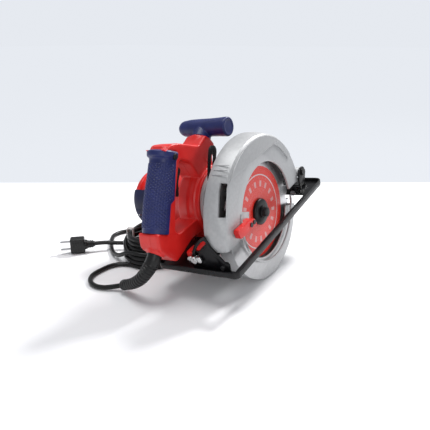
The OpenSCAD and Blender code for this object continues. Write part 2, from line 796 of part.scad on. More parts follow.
// A slot along an arc, with a round start and a round or square end.
function arc_slot(r, half, a0, a1, steps, round_end = true) = concat(
    [for (i = [0 : steps]) let (a = a0 + (a1 - a0) * i / steps) (r + half) * [cos(a), sin(a)]],
    [if (round_end) for (i = [1 : 5])
        r * [cos(a1), sin(a1)] + half * [cos(a1 + 30 * i), sin(a1 + 30 * i)]],
    [for (i = [steps : -1 : 0]) let (a = a0 + (a1 - a0) * i / steps) (r - half) * [cos(a), sin(a)]],
    [for (i = [1 : 5]) r * [cos(a0), sin(a0)] - half * [cos(a0 + 30 * i), sin(a0 + 30 * i)]]);

arc_ends = [147, 189.2];

// Slotted arc centred on the front pivot, with a strap back to the rear bevel pivot.
module depth_arc() at_rest() color(black) {
    difference() {
        union() {
            plate_x(arc_x[0], arc_x[1]) translate([depth_y, depth_z])
                polygon(arc_slot(arc_r, arc_w / 2, arc_ends[0], arc_ends[1], 28, false));
            plate_x(arc_x[0], arc_x[1]) polygon(
                [[-56, -23.5], [-56, -12], [-75, -12], [-111, -2], [-113.5, -2], [-113.5, -23.5]]);
            translate([arc_x[0] - 12, -113.5, -23.5]) cube([14, 2.5, 21.5]);
            translate([arc_x[0], -113.5, -26]) cube([bevel_x + 7 - arc_x[0], 2.5, 12]);
        }
        plate_x(arc_x[0] - 1, arc_x[1] + 1) translate([depth_y, depth_z])
            polygon(arc_slot(arc_r, 3.4, lock_angle - depth_travel - 1.2, lock_angle + 0.8, 24));
        rod_y(3.02, -120, -105, bevel_x, bevel_z);
        rod_y(2.6, -120, -105, bolt_x, bolt_z);
        translate([arc_x[0] - 1, -130, -40]) cube([6.1, 60, 15]);
    }
}

bolt_x = bevel_x + bevel_slot_r * cos(bevel_bolt_angle);
bolt_z = bevel_z + bevel_slot_r * sin(bevel_bolt_angle);

module bevel_pins() at_rest() color(steel) {
    rod_y(3, 102.4, 110.6, bevel_x, bevel_z);
    rod_y(4.4, 100.8, 102.5, bevel_x, bevel_z);
    rod_y(3, -118.4, -109.4, bevel_x, bevel_z);
    rod_y(4.4, -110.9, -109.2, bevel_x, bevel_z);
}

module bevel_bolt() at_rest() color(steel) {
    rod_y(2.5, -124.8, -109, bolt_x, bolt_z);
    rod_y(3.8, -110.9, -108.4, bolt_x, bolt_z);
}

module bevel_wing_nut() at_rest() color(steel) {
    difference() {
        union() {
            rod_y(5, -123.6, -117.3, bolt_x, bolt_z);
            for (s = [-1, 1]) translate([bolt_x + s * 7, -120.5, bolt_z]) rotate([90, 0, 0])
                cylinder(r = 4.6, h = 2.4, center = true);
            translate([bolt_x - 7, -121.7, bolt_z - 2.2]) cube([14, 2.4, 4.4]);
        }
        rod_y(2.55, -130, -110, bolt_x, bolt_z);
    }
}

module depth_lever() at_rest() color(red) {
    difference() {
        union() {
            rod_x(8, arc_x[0] - 11, arc_x[0] - 0.4, lock_y, lock_z);
            plate_x(arc_x[0] - 11, arc_x[0] - 3) polygon(rounded(
                [[lock_y, lock_z + 7], [lock_y - 24, lock_z - 1], [-106, -4], [-106, -14.6],
                    [-98, -15], [lock_y - 12, lock_z - 9], [lock_y, lock_z - 7]],
                [0, 10, 2, 2, 3, 10, 0]));
            plate_x(arc_x[0] - 22, arc_x[0] - 3) polygon(
                [[-96, -4.2], [-106, -4], [-106, -14.6], [-96, -15]]);
            plate_x(arc_x[0] - 22, arc_x[0] - 12.6) polygon(rounded(
                [[-97, -4.2], [-113, -4], [-113, -14], [-98, -15]], [0, 3, 3, 0]));
        }
        rod_x(3.06, -60, -20, lock_y, lock_z);
    }
}

// ---- Shoe ----

module shoe_2d() {
    polygon(rounded([[shoe_left, -shoe_rear], [shoe_right, -shoe_rear],
        [shoe_right, shoe_front], [shoe_left, shoe_front]], [9, 7, 12, 16]));
}

module inner_2d() {
    polygon(rounded([[shoe_left + sheet_t, sheet_t - shoe_rear],
        [shoe_right - sheet_t, sheet_t - shoe_rear],
        [shoe_right - sheet_t, shoe_front - sheet_t], [shoe_left + sheet_t, shoe_front - sheet_t]],
        [7, 5, 10, 14]));
}

// Stamped tray with its edges turned up, cut out for the blade, the guard and the gear case.
module shoe_plate() at_rest() color(black) {
    translate([0, 0, -sole_drop]) difference() {
        linear_extrude(flange_h) shoe_2d();
        translate([0, 0, sheet_t]) linear_extrude(flange_h) inner_2d();
        translate([window_x[0], window_y[0], -1])
            cube([window_x[1] - window_x[0], window_y[1] - window_y[0], 5]);
        translate([-47, -46, -1]) cube([25, 92, 5]);
        translate([26, -117, -1]) cylinder(r = 3, h = 6);
        for (x = [-88, -60]) translate([x, 120, -1]) cylinder(r = 2.6, h = 6);
    }
}

// Upright tabs for the bevel pivots, the rear one with an arc slot for the bevel bolt.
module bevel_quadrant() at_rest() color(black) {
    difference() {
        union() {
            translate([-5, 107.9, plate_top]) cube([18, 2.5, 12]);
            translate([-6, 107.9, plate_top]) cube([20, 14, 2]);
        }
        rod_y(3.02, 100, 115, bevel_x, bevel_z);
    }
    difference() {
        translate([0, tab_y + tab_t, 0]) rotate([90, 0, 0]) linear_extrude(tab_t) intersection() {
            union() {
                translate([bevel_x, bevel_z]) polygon(ring_sector(bevel_slot_r - 8, bevel_slot_r + 7,
                    bevel_bolt_angle - bevel_travel - 9, 186, 20));
                translate([-43, plate_top]) square([58, 12]);
                polygon([[-40, -16], [12, -16], [-8, 10], [-22, 14]]);
            }
            translate([-60, plate_top]) square([100, 60]);
        }
        rod_y(3.02, -125, -105, bevel_x, bevel_z);
        translate([0, tab_y + tab_t + 1, 0]) rotate([90, 0, 0]) linear_extrude(tab_t + 2)
            translate([bevel_x, bevel_z])
                polygon(arc_slot(bevel_slot_r, 2.8,
                    bevel_bolt_angle - bevel_travel - 1, bevel_bolt_angle + 1, 20));
    }
}

fence_y = 136;
fence_screw_x = -14;

// Bridge that the rip fence's bar slides under, with a threaded boss for its screw.
module fence_guide() at_rest() color(black) {
    difference() {
        union() {
            translate([-34, fence_y - 11, plate_top]) cube([40, 22, 8]);
            translate([fence_screw_x, fence_y, plate_top]) cylinder(r = 6, h = 13);
        }
        translate([-40, fence_y - 8, plate_top - 1]) cube([60, 16, 5]);
        translate([fence_screw_x, fence_y, -40]) cylinder(r = 2.55, h = 40);
    }
}

module fence_screw() at_rest() color(steel) {
    translate([fence_screw_x, fence_y, plate_top + 4.2]) {
        cylinder(r = 2.5, h = 20);
        translate([0, 0, 10]) cylinder(r = 4, h = 6);
        for (s = [-1, 1]) translate([s * 7, 0, 16]) rotate([90, 0, 0])
            cylinder(r = 5, h = 2.6, center = true);
        translate([-7, -1.3, 12]) cube([14, 2.6, 6]);
    }
}

// ---- Cord and plug ----

module cord_guard() on_floor() color(black) {
    swept(guard_route, guard_radii, 3, 12);
}

module cord_lead() on_floor() color(black) {
    swept(lead_route, [cord_d / 2], 1, 10);
}

module cord_loop() on_floor() color(black) {
    swept(loop_route, [cord_d / 2], 1, 10);
}

module cord_tail() on_floor() color(black) {
    swept(tail_route, [cord_d / 2], 2, 10);
}

module cord_coil() on_floor() color(black) {
    translate([coil_at[0], coil_at[1], 0]) rotate_extrude($fn = 72) polygon([
        [coil_r - cord_d, 0], [coil_r + cord_d, 0], [coil_r + cord_d, coil_low_turns * cord_d],
        [coil_r, coil_low_turns * cord_d], [coil_r, coil_high_turns * cord_d],
        [coil_r - cord_d, coil_high_turns * cord_d]]);
}

// Soft strap round the coil's bundle of turns.
module cord_tie() on_floor() color([0.85, 0.85, 0.83]) {
    translate([coil_at[0], coil_at[1], 0]) rotate([0, 0, 205]) difference() {
        translate([coil_r - cord_d - 1.6, -4, 0]) cube([2 * cord_d + 3.2, 8, coil_high_turns * cord_d + 1.6]);
        translate([coil_r - cord_d - 0.3, -5, -1])
            cube([cord_d + 0.6, 10, coil_high_turns * cord_d + 1.3]);
        translate([coil_r - 1, -5, -1]) cube([cord_d + 1.3, 10, coil_low_turns * cord_d + 1.3]);
        translate([coil_r + 1.7, -5, coil_low_turns * cord_d + 1.8]) cube([20, 10, 60]);
    }
}

module plug_body() on_floor() color(black) {
    translate(plug_at) rotate([0, 0, plug_yaw]) {
        translate([0.6, 0, 0]) rotate([0, 90, 0]) cylinder(r = 5.5, h = 13.4);
        translate([13.5, -8, -12.5]) cube([22, 16, 25]);
    }
}

module plug_prongs() on_floor() color(steel) {
    translate(plug_at) rotate([0, 0, plug_yaw]) for (z = [-6.35, 6.35])
        translate([35.6, -3.2, z - 0.75]) cube([16, 6.4, 1.5]);
}

motor_housing();
motor_end_cap();
end_cap_vent();
handle_shell_left();
handle_shell_right();
rear_grip();
front_grip();
gear_case();
upper_guard();
stator_core();
field_coils();
brush_holders();
carbon_brushes();
brush_caps();
rear_bearing();
front_bearing();
spindle_bearings();
switch_body();
handle_screws();
housing_screws();
guard_screws();
guard_spring();
depth_lock_bolt();
blade();
carbide_tips();
spindle();
driven_gear();
inner_flange();
outer_flange();
blade_bolt();
armature_shaft();
pinion();
armature_core();
commutator();
cooling_fan();
lower_guard();
guard_lever();
lever_screws();
trigger();
lock_off_button();
spindle_lock();
front_bracket();
depth_pivot_pin();
depth_arc();
bevel_pins();
bevel_bolt();
shoe_plate();
bevel_quadrant();
fence_guide();
depth_lever();
bevel_wing_nut();
fence_screw();
cord_guard();
cord_lead();
cord_loop();
cord_tail();
cord_coil();
cord_tie();
plug_body();
plug_prongs();
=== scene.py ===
import bpy
import json
import math
from mathutils import Matrix, Vector


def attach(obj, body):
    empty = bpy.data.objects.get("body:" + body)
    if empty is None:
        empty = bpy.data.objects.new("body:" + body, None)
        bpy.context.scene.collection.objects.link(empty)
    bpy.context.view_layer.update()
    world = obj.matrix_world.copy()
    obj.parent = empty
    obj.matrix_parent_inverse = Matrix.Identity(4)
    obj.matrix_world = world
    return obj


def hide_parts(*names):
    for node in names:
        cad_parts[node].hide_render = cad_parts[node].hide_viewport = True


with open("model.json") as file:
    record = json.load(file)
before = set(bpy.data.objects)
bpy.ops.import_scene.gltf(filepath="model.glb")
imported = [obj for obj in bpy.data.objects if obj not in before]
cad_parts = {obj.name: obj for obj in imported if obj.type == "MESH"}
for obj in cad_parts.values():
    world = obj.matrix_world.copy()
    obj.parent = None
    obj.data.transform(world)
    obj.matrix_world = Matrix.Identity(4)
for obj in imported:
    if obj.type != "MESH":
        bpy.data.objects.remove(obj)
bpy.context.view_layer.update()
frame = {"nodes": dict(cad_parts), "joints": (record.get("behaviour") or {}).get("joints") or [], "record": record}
print("frame loaded,", len(frame["nodes"]), "nodes")

# The saw's own axes come from its joints: x out along the arbor, y forward, z up from the shoe
joints = {j["name"]: j for j in frame["joints"]}
arborAt = Vector(joints["blade_spin"]["pos_m"])
sawX = Vector(joints["blade_spin"]["axis"])
sawY = -Vector(joints["spindle_lock_press"]["axis"])
sawZ = Vector(joints["fence_screw_turn"]["axis"])
sawPlace = Matrix.Translation(arborAt) @ Matrix((sawX, sawY, sawZ)).transposed().to_4x4()
underArbor = Vector((arborAt.x, arborAt.y, 0))
mm = 0.001


def onFloor(x, y, z):
    return underArbor + Vector((x, y, z)) * mm


view = {"from": (319.5, -583.4, 234.9), "towards": (-0.528, 0.777, -0.341), "lens": 40.7}


def addCamera():
    bpy.ops.object.camera_add(location=arborAt + Vector(view["from"]) * mm)
    camera = bpy.context.object
    camera.rotation_euler = Vector(view["towards"]).to_track_quat("-Z", "Y").to_euler()
    camera.data.lens = view["lens"]
    camera.data.clip_start = 0.01
    bpy.context.scene.camera = camera
    return camera


studio = {"floorSize": 40.0, "wallAt": 1.147, "floorTone": (0.88, 0.88, 0.89),
          "wallTone": (0.79, 0.82, 0.87),
          "skyTone": (0.93, 0.95, 1.0), "skyPower": 0.45}
lights = {  # name: (place in metres, size, power)
    "keyPanel": ((0.15, 1.0, 1.2), 0.3, 26),
    "topPanel": ((-0.3, -0.1, 1.6), 0.9, 12),
    "frontPanel": ((1.1, -1.2, 0.8), 0.7, 5),
}


def pick(*pieces):
    bpy.ops.object.select_all(action="DESELECT")
    for piece in pieces:
        piece.select_set(True)
    bpy.context.view_layer.objects.active = pieces[0]


def addFloor(camera):
    bpy.ops.mesh.primitive_plane_add(size=studio["floorSize"], location=(0, 0, -0.0002))
    floor = bpy.context.object
    floor.name = "studioFloor"
    bpy.ops.object.mode_set(mode="EDIT")
    bpy.ops.mesh.subdivide(number_cuts=20)
    bpy.ops.object.mode_set(mode="OBJECT")
    away = Vector(view["towards"]).to_2d().normalized()
    edge = camera.location.to_2d().dot(away) + studio["wallAt"]
    mat, nodes, links, shader = newMaterial("studioPaper", studio["floorTone"], 0.8)
    where = nodes.new("ShaderNodeTexCoord")
    reach = nodes.new("ShaderNodeVectorMath")
    reach.operation = "DOT_PRODUCT"
    reach.inputs[1].default_value = (away.x, away.y, 0)
    links.new(where.outputs["Object"], reach.inputs[0])
    far = spread(nodes, links, reach.outputs["Value"], 0, 1, edge - 0.004, edge + 0.004)
    twoTone(nodes, links, far, studio["floorTone"], (0.02, 0.02, 0.02), shader)
    links.new(far, shader.inputs["Emission Strength"])
    shader.inputs["Emission Color"].default_value = (*studio["wallTone"], 1)
    links.new(spread(nodes, links, far, 0.3, 0, 0, 1), shader.inputs["Specular IOR Level"])
    floor.data.materials.append(mat)


def addLight(name, at, size, power):
    bpy.ops.object.light_add(type="AREA", location=Vector(at))
    lamp = bpy.context.object
    lamp.name = name
    lamp.rotation_euler = (Vector((0, 0, 0.08)) - Vector(at)).to_track_quat("-Z", "Y").to_euler()
    lamp.data.shape = "DISK"
    lamp.data.size = size
    lamp.data.energy = power


def addSky():
    # Soft light from all round, and a plain backdrop where the camera looks past the floor
    world = bpy.data.worlds.new("studio")
    bpy.context.scene.world = world
    world.use_nodes = True
    nodes, links = world.node_tree.nodes, world.node_tree.links
    sky = nodes["Background"]
    sky.inputs["Color"].default_value = (*studio["skyTone"], 1)
    sky.inputs["Strength"].default_value = studio["skyPower"]
    backdrop = nodes.new("ShaderNodeBackground")
    backdrop.inputs["Color"].default_value = (*studio["wallTone"], 1)
    seen = nodes.new("ShaderNodeLightPath")
    either = nodes.new("ShaderNodeMixShader")
    links.new(seen.outputs["Is Camera Ray"], either.inputs["Fac"])
    links.new(sky.outputs["Background"], either.inputs[1])
    links.new(backdrop.outputs["Background"], either.inputs[2])
    links.new(either.outputs["Shader"], nodes["World Output"].inputs["Surface"])


def newMaterial(name, colour, rough, metal=0.0):
    mat = bpy.data.materials.new(name)
    mat.use_nodes = True
    nodes, links = mat.node_tree.nodes, mat.node_tree.links
    shader = nodes["Principled BSDF"]
    shader.inputs["Base Color"].default_value = (*colour, 1)
    shader.inputs["Roughness"].default_value = rough
    shader.inputs["Metallic"].default_value = metal
    return mat, nodes, links, shader


def noise(nodes, links, scale, detail=3.0, stretch=(1, 1, 1)):
    where = nodes.new("ShaderNodeTexCoord")
    mapping = nodes.new("ShaderNodeMapping")
    mapping.inputs["Scale"].default_value = stretch
    tex = nodes.new("ShaderNodeTexNoise")
    tex.inputs["Scale"].default_value = scale
    tex.inputs["Detail"].default_value = detail
    links.new(where.outputs["Object"], mapping.inputs["Vector"])
    links.new(mapping.outputs["Vector"], tex.inputs["Vector"])
    return tex.outputs["Fac"]


def spread(nodes, links, value, low, high, fromLow=0.3, fromHigh=0.7):
    ramp = nodes.new("ShaderNodeMapRange")
    ramp.inputs["From Min"].default_value = fromLow
    ramp.inputs["From Max"].default_value = fromHigh
    ramp.inputs["To Min"].default_value = low
    ramp.inputs["To Max"].default_value = high
    links.new(value, ramp.inputs["Value"])
    return ramp.outputs["Result"]


def twoTone(nodes, links, value, dark, light, shader):
    mix = nodes.new("ShaderNodeMix")
    mix.data_type = "RGBA"
    mix.inputs["A"].default_value = (*dark, 1)
    mix.inputs["B"].default_value = (*light, 1)
    links.new(value, mix.inputs["Factor"])
    links.new(mix.outputs["Result"], shader.inputs["Base Color"])


def grain(nodes, links, value, strength, depth, shader):
    bump = nodes.new("ShaderNodeBump")
    bump.inputs["Strength"].default_value = strength
    bump.inputs["Distance"].default_value = depth
    links.new(value, bump.inputs["Height"])
    links.new(bump.outputs["Normal"], shader.inputs["Normal"])


def finish(name, dark, light, rough, metal=0.0, cloud=60, fine=1800, bump=0.15, depth=0.0002,
           stretch=(1, 1, 1), shine=0.5):
    mat, nodes, links, shader = newMaterial(name, light, rough[1], metal)
    clouds = noise(nodes, links, cloud)
    pores = noise(nodes, links, fine, 2.0, stretch)
    twoTone(nodes, links, spread(nodes, links, clouds, 0, 1), dark, light, shader)
    links.new(spread(nodes, links, clouds, *rough), shader.inputs["Roughness"])
    grain(nodes, links, pores, bump, depth, shader)
    shader.inputs["Specular IOR Level"].default_value = shine
    return mat


finishes = {
    "red_plastic": finish("redShell", (0.6, 0.01, 0.009), (0.68, 0.018, 0.014), (0.32, 0.42)),
    "soft_grip": finish("navyGrip", (0.004, 0.01, 0.085), (0.008, 0.016, 0.115), (0.4, 0.5), bump=0.15),
    "dark_vent": finish("darkVent", (0.006, 0.009, 0.04), (0.01, 0.014, 0.06), (0.4, 0.5), shine=0.35),
    "cast_alloy": finish("castAlloy", (0.38, 0.385, 0.39), (0.43, 0.435, 0.44), (0.42, 0.5), 0.4, 260,
                         1300, 0.35),
    "pressed_guard": finish("pressedAlloy", (0.42, 0.425, 0.43), (0.48, 0.485, 0.49), (0.36, 0.44), 0.5,
                            200, 1400, 0.12),
    "blade_steel": finish("bladeSteel", (0.5, 0.5, 0.51), (0.62, 0.62, 0.63), (0.24, 0.34), 1.0, 60, 700,
                          0.1,
                          stretch=(8, 1, 1)),
    "carbide": finish("carbide", (0.2, 0.2, 0.21), (0.3, 0.3, 0.31), (0.3, 0.4), 1.0),
    "bright_steel": finish("zincPlate", (0.6, 0.6, 0.6), (0.72, 0.72, 0.72), (0.2, 0.3), 1.0),
    "plain_steel": finish("turnedSteel", (0.36, 0.36, 0.37), (0.48, 0.48, 0.49), (0.28, 0.4), 1.0),
    "black_steel": finish("blackPaint", (0.003, 0.003, 0.004), (0.006, 0.006, 0.007), (0.26, 0.38),
                          bump=0.2, shine=0.3),
    "black_oxide": finish("blackOxide", (0.006, 0.006, 0.007), (0.012, 0.012, 0.013), (0.3, 0.42), 0.3,
                          shine=0.4),
    "black_plastic": finish("blackPlastic", (0.004, 0.004, 0.005), (0.008, 0.008, 0.009), (0.36, 0.46),
                            bump=0.2, shine=0.35),
    "black_rubber": finish("blackVinyl", (0.003, 0.003, 0.003), (0.006, 0.006, 0.006), (0.3, 0.42),
                           bump=0.12, shine=0.35),
    "copper": finish("copperWire", (0.5, 0.2, 0.08), (0.68, 0.32, 0.14), (0.3, 0.4), 1.0),
    "brass": finish("brassPart", (0.6, 0.42, 0.16), (0.72, 0.54, 0.24), (0.28, 0.38), 1.0),
    "core_steel": finish("coreSteel", (0.1, 0.1, 0.105), (0.17, 0.17, 0.175), (0.5, 0.6), 0.8, fine=3000),
    "carbon": finish("brushCarbon", (0.02, 0.02, 0.02), (0.035, 0.035, 0.035), (0.55, 0.65)),
    "pale_strap": finish("paleStrap", (0.6, 0.6, 0.58), (0.74, 0.74, 0.72), (0.7, 0.8), fine=900, bump=0.4),
}


bladeLook = {"paintedTo": (0.0655, 0.0658), "ring": (0.0532, 0.0007), "ticks": 17.0,
             "tickBand": (0.0405, 0.0042),
             "red": (0.7, 0.03, 0.018), "steel": (0.6, 0.6, 0.61)}


def maths(nodes, links, operation, *values):
    node = nodes.new("ShaderNodeMath")
    node.operation = operation
    for socket, value in enumerate(values):
        if isinstance(value, float):
            node.inputs[socket].default_value = value
        else:
            links.new(value, node.inputs[socket])
    return node.outputs["Value"]


def printedBlade():
    # Red print round the arbor with a thin bare ring, a band of even ticks and light scuffs
    mat, nodes, links, shader = newMaterial("printedBlade", (0.6, 0.02, 0.02), 0.4, 0.0)
    where = nodes.new("ShaderNodeTexCoord")
    offset = nodes.new("ShaderNodeVectorMath")
    offset.operation = "SUBTRACT"
    offset.inputs[1].default_value = tuple(arborAt)
    length = nodes.new("ShaderNodeVectorMath")
    length.operation = "LENGTH"
    links.new(where.outputs["Object"], offset.inputs[0])
    links.new(offset.outputs["Vector"], length.inputs[0])
    reach = length.outputs["Value"]
    rings = nodes.new("ShaderNodeTexNoise")
    rings.noise_dimensions = "1D"
    rings.inputs["Scale"].default_value = 2600
    links.new(reach, rings.inputs["W"])
    unpainted = spread(nodes, links, reach, 0, 1, *bladeLook["paintedTo"])
    ring = maths(nodes, links, "COMPARE", reach, *bladeLook["ring"])
    bare = maths(nodes, links, "MAXIMUM", unpainted, ring)
    along = []
    for axis in (sawY, sawZ):
        part = nodes.new("ShaderNodeVectorMath")
        part.operation = "DOT_PRODUCT"
        part.inputs[1].default_value = tuple(axis)
        links.new(offset.outputs["Vector"], part.inputs[0])
        along.append(part.outputs["Value"])
    turn = maths(nodes, links, "ARCTAN2", *along)
    wave = maths(nodes, links, "SINE", maths(nodes, links, "MULTIPLY", turn, bladeLook["ticks"]))
    band = maths(nodes, links, "COMPARE", reach, *bladeLook["tickBand"])
    ticks = maths(nodes, links, "MULTIPLY", spread(nodes, links, wave, 0, 0.5, 0.45, 0.6), band)
    scuff = spread(nodes, links, noise(nodes, links, 420, 8.0), 0, 0.5, 0.6, 0.75)
    worn = maths(nodes, links, "MAXIMUM", bare, maths(nodes, links, "MAXIMUM", ticks, scuff))
    twoTone(nodes, links, worn, bladeLook["red"], bladeLook["steel"], shader)
    links.new(unpainted, shader.inputs["Metallic"])
    links.new(spread(nodes, links, rings.outputs["Fac"], 0.26, 0.42), shader.inputs["Roughness"])
    grain(nodes, links, rings.outputs["Fac"], 0.12, 0.0001, shader)
    return mat


slotOf = {s["node"]: s["material_slot"] for s in frame["record"]["subparts"]}
bladePrint = printedBlade()


def paintNodes():
    for name, node in frame["nodes"].items():
        node.data.materials.clear()
        node.data.materials.append(bladePrint if name == "blade" else finishes[slotOf[name]])


def settle(piece, name, slotName, body, *stoodFor):
    piece.name = name
    piece.data.name = name
    if slotName:
        piece.data.materials.clear()
        piece.data.materials.append(finishes[slotName])
    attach(piece, body)
    if stoodFor:
        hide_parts(*stoodFor)
    return piece


cordFacts = {"diameter": 7.0, "coilAt": (-163.9, -52), "inner": 33.5, "outer": 40.5, "perTurn": 24}
# Heights are above the floor and places are from the point under the arbor
guardRoute = [(-71.5, -146.3, 68.3), (-71, -153, 60), (-75, -159, 48), (-86, -162, 33),
              (-104, -160, 20), (-124, -157, 10.5)]
leadRoute = [(-136, -161, 6.5), (-149, -168.5, 4.2), (-162.9, -172, 3.5), (-175.1, -169.6, 3.5),
             (-185.5, -162.6, 3.5), (-192.5, -152.2, 3.5), (-194.9, -140, 3.5), (-194.9, -123.5, 3.5),
             (-192.5, -111.6, 3.5), (-185.8, -101.6, 3.5), (-175.8, -94.9, 3.5)]
loopRoute = [(-185, -10, 8), (-206, -2, 4.5), (-228, 10, 3.5), (-249, 17, 3.5), (-261.5, 14.7, 3.5),
             (-271.2, 8.2, 3.5), (-277.7, -1.5, 3.5), (-280, -13, 3.5), (-277.7, -24.5, 3.5),
             (-271.2, -34.2, 3.5), (-257, -50, 3.5), (-240, -66, 3.5), (-220, -80, 5), (-199, -89, 11),
             (-181, -92.5, 20)]
tailRoute = [(-199, -28, 19), (-213, -38, 13.5), (-226, -48, 11), (-238, -58, 11.5),
             (-249, -68, 13), (-257, -77, 13.5), (-263, -85, 13.5)]
# Winding of the coil as (angle, radius, height): up the inner column, then down the outer one
winding = [(-90, "outer", 3.5), (100, "outer", 3.5), (270, "inner", 3.5), (2140, "inner", 45),
           (2310, "outer", 45), (2430, "outer", 17.5), (2612, "outer", 17.5), (2782, "outer", 10.5),
           (2970, "outer", 10.5)]
crossing = [(-90, "outer", 24.5), (120, "outer", 24.5)]


def windAt(stages, angle):
    for (a0, r0, z0), (a1, r1, z1) in zip(stages, stages[1:]):
        if angle <= a1:
            share = (angle - a0) / (a1 - a0)
            return (cordFacts[r0] * (1 - share) + cordFacts[r1] * share, z0 + (z1 - z0) * share)
    return cordFacts[stages[-1][1]], stages[-1][2]


def wind(stages):
    start, end = stages[0][0], stages[-1][0]
    steps = round((end - start) / 360 * cordFacts["perTurn"])
    turns = []
    for i in range(steps + 1):
        angle = start + (end - start) * i / steps
        radius, height = windAt(stages, angle)
        turn = math.radians(angle)
        turns.append((cordFacts["coilAt"][0] + radius * math.cos(turn),
                      cordFacts["coilAt"][1] + radius * math.sin(turn), height))
    return turns


def smoothLine(points, per=4):
    line = []
    last = len(points) - 1
    for i in range(last):
        a, b, c, d = (Vector(points[k]) for k in (max(0, i - 1), i, i + 1, min(last, i + 2)))
        for k in range(per):
            t = k / per
            line.append(0.5 * (2 * b + (c - a) * t + (2 * a - 5 * b + 4 * c - d) * t * t
                               + (3 * b - a - 3 * c + d) * t * t * t))
    line.append(Vector(points[last]))
    return line


def lengthOf(line):
    return sum((b - a).length for a, b in zip(line, line[1:]))


def addCord(plug, boot):
    route = guardRoute + leadRoute + wind(winding) + loopRoute + wind(crossing) + tailRoute
    line = [onFloor(*p) for p in smoothLine(route, 3)]
    curve = bpy.data.curves.new("powerCord", "CURVE")
    curve.dimensions = "3D"
    curve.bevel_depth = cordFacts["diameter"] / 2 * mm
    curve.bevel_resolution = 4
    curve.use_fill_caps = True
    spline = curve.splines.new("POLY")
    spline.points.add(len(line) - 1)
    for point, place in zip(spline.points, line):
        point.co = (*place, 1)
    spline.use_smooth = True
    cord = bpy.data.objects.new("powerCord", curve)
    bpy.context.scene.collection.objects.link(cord)
    settle(cord, "powerCord", "black_rubber", "saw_body", "cord_lead", "cord_loop", "cord_tail",
           "cord_coil")
    print("cord made,", round(lengthOf(line), 3), "m")


# Pieces are made on the saw's own axes, in metres, and then put in place
def applyAll(piece):
    pick(piece)
    for modifier in list(piece.modifiers):
        bpy.ops.object.modifier_apply(modifier=modifier.name)


def bakePlace(piece, place=None):
    pick(piece)
    if place is not None:
        piece.matrix_world = place @ piece.matrix_world
    bpy.ops.object.transform_apply(location=True, rotation=True, scale=True)
    return piece


def smooth(piece, angle=35):
    pick(piece)
    bpy.ops.object.shade_smooth_by_angle(angle=math.radians(angle))
    return piece


def joinAll(*pieces):
    pick(*pieces)
    bpy.ops.object.join()
    return bpy.context.object


def tidyMesh(piece, gap=0.00002):
    pick(piece)
    bpy.ops.object.mode_set(mode="EDIT")
    bpy.ops.mesh.select_all(action="SELECT")
    bpy.ops.mesh.remove_doubles(threshold=gap)
    bpy.ops.mesh.normals_make_consistent(inside=False)
    bpy.ops.object.mode_set(mode="OBJECT")
    return piece


def roundEdges(piece, width, segments=2, angle=30):
    bevel = piece.modifiers.new("edges", "BEVEL")
    bevel.width = width * mm
    bevel.segments = segments
    bevel.limit_method = "ANGLE"
    bevel.angle_limit = math.radians(angle)
    bevel.use_clamp_overlap = True
    applyAll(piece)
    return piece


def carve(piece, *cutters):
    for cutter in cutters:
        cut = piece.modifiers.new("cut", "BOOLEAN")
        cut.operation = "DIFFERENCE"
        cut.solver = "EXACT"
        cut.object = cutter
        applyAll(piece)
        bpy.data.objects.remove(cutter)
    return piece


def mould(piece, voxel, passes, factor=0.5):
    remesh = piece.modifiers.new("skin", "REMESH")
    remesh.mode = "VOXEL"
    remesh.voxel_size = voxel * mm
    soften = piece.modifiers.new("soften", "SMOOTH")
    soften.iterations = passes
    soften.factor = factor
    applyAll(piece)
    return piece


def softened(node, width, segments=2, angle=30):
    copy = frame["nodes"][node].copy()
    copy.data = copy.data.copy()
    copy.parent = None
    for key in list(copy.keys()):
        del copy[key]
    bpy.context.scene.collection.objects.link(copy)
    pick(copy)
    bpy.ops.object.mode_set(mode="EDIT")
    bpy.ops.mesh.select_all(action="SELECT")
    bpy.ops.mesh.remove_doubles(threshold=0.00001)
    bpy.ops.mesh.dissolve_limited(angle_limit=math.radians(1.0))
    bpy.ops.object.mode_set(mode="OBJECT")
    roundEdges(copy, width, segments, angle)
    return smooth(copy, 32)


def cornerArc(a, b, c, radius):
    u, v = (a - b).normalized(), (c - b).normalized()
    half = math.acos(max(-1, min(1, u.dot(v)))) / 2
    centre = b + (u + v).normalized() * radius / math.sin(half)
    start, end = b + u * radius / math.tan(half), b + v * radius / math.tan(half)
    a0 = math.atan2(*(start - centre).yx)
    turn = (math.atan2(*(end - centre).yx) - a0 + math.pi) % (2 * math.pi) - math.pi
    steps = max(3, math.ceil(abs(math.degrees(turn)) / 9))
    return [centre + radius * Vector((math.cos(a0 + turn * i / steps), math.sin(a0 + turn * i / steps)))
            for i in range(steps + 1)]


def rounded(corners):
    points = [Vector(c[:2]) for c in corners]
    made = []
    for i, corner in enumerate(corners):
        if len(corner) < 3 or corner[2] == 0:
            made.append(points[i])
        else:
            made += cornerArc(points[i - 1], points[i], points[(i + 1) % len(points)], corner[2])
    return made


def plate(x0, x1, *outlines):
    curve = bpy.data.curves.new("plate", "CURVE")
    curve.dimensions = "2D"
    curve.fill_mode = "BOTH"
    curve.extrude = (x1 - x0) / 2 * mm
    for outline in outlines:
        spline = curve.splines.new("POLY")
        spline.points.add(len(outline) - 1)
        for point, place in zip(spline.points, outline):
            point.co = (place[0] * mm, place[1] * mm, 0, 1)
        spline.use_cyclic_u = True
    piece = bpy.data.objects.new("plate", curve)
    bpy.context.scene.collection.objects.link(piece)
    pick(piece)
    bpy.ops.object.convert(target="MESH")
    piece = bpy.context.object
    stand = Matrix(((0, 0, 1, (x0 + x1) / 2 * mm), (1, 0, 0, 0), (0, 1, 0, 0), (0, 0, 0, 1)))
    bakePlace(piece, stand)
    return tidyMesh(piece)


